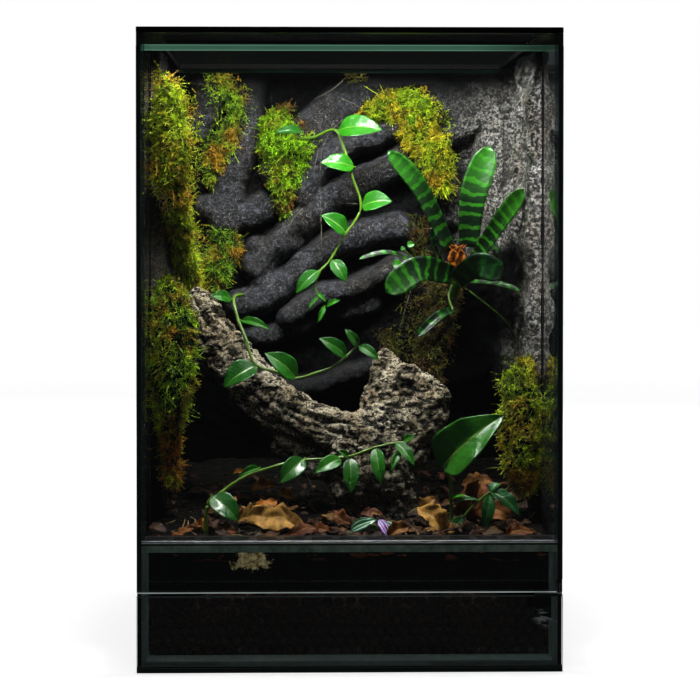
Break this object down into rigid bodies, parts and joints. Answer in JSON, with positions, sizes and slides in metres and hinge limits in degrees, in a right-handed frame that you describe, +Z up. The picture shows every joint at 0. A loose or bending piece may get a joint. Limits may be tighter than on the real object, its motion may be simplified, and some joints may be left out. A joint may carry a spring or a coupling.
{
  "type": "planted glass vivarium",
  "caption": "Tall all-glass vivarium with a side-hung front door, mesh-vented top, slotted front air strip and a planted interior of bark, moss, vines and bromeliad.",
  "frame": {"origin": "centre of the underside of the base pane, midway between front and back of the whole tank", "axes": "+Z up, -Y towards the door, +X towards the hinged edge of the door, on the right as seen from the front"},
  "size_m": [0.4, 0.4, 0.605],
  "materials": {
    "float_glass": "polished float glass with a faint green body colour",
    "roof_float_glass": "polished float glass, its lit edge green",
    "black_frame": "satin black",
    "black_mesh": "matt black coating",
    "vent_strip": "satin grey-green coating",
    "black_silicone": "cured silicone",
    "clear_silicone": "cured translucent silicone",
    "seal_strip": "soft translucent strip",
    "steel": "brushed",
    "black_block": "satin black",
    "clear_block": "clear acrylic",
    "washer": "waxy white",
    "clay_balls": "porous fired clay",
    "separator": "black woven sheet",
    "soil": "damp crumbly bark and coir soil",
    "leaf_litter": "dry fallen leaves",
    "background": "coarse dark fibre and rock relief",
    "cladding": "coarse dark fibre relief",
    "cork": "rough fissured cork bark",
    "moss_yellow": "soft tufted moss",
    "moss_dark": "soft tufted moss",
    "moss_green": "soft tufted moss",
    "moss_brown": "tufted moss, browned",
    "vine_leaf": "waxy bright green leaf",
    "bromeliad_leaf": "glossy dark green leaf with light bands",
    "dark_leaf": "thick dark green leaf",
    "striped_leaf": "striped green and purple leaf"
  },
  "bodies": {
    "tank": {"base_glass": "float_glass", "back_glass": "float_glass", "left_side_glass": "float_glass", "right_side_glass": "float_glass", "lower_front_glass": "float_glass", "retaining_glass": "float_glass", "roof_glass": "roof_float_glass", "top_frame": "black_frame", "roof_vent_mesh": "black_mesh", "front_vent_strip": "vent_strip", "front_bond_silicone": "black_silicone", "channel_silicone": "clear_silicone", "left_seal_strip": "seal_strip", "right_seal_strip": "seal_strip", "catch_plate": "steel", "upper_pivot_pin": "steel", "lower_pivot_bracket": "steel", "lower_pivot_pin": "steel", "pivot_washer": "washer", "drainage_layer": "clay_balls", "separator_sheet": "separator", "soil": "soil", "leaf_litter": "leaf_litter", "background": "background", "left_cladding": "cladding", "right_cladding": "cladding", "cork_bark": "cork", "moss_upper_left": "moss_yellow", "moss_lower_left": "moss_green", "moss_dark": "moss_dark", "moss_centre": "moss_green", "moss_grass": "moss_green", "moss_arch": "moss_yellow", "moss_right": "moss_green", "moss_bromeliad": "moss_brown", "upper_vine": "vine_leaf", "middle_vine": "vine_leaf", "lower_vine": "vine_leaf", "bromeliad": "bromeliad_leaf", "big_leaf_plant": "dark_leaf", "creeping_plant": "dark_leaf", "striped_plant": "striped_leaf"},
    "door": {"door_glass": "float_glass", "door_upper_block": "black_block", "door_lower_block": "clear_block", "door_catch_block": "black_block"}
  },
  "joints": [
    {"name": "door_hinge", "type": "hinge", "parent": "tank", "child": "door", "pos_m": [0.1974, -0.197, 0.075], "axis": [0, 0, 1], "range_deg": [0, 110]}
  ]
}
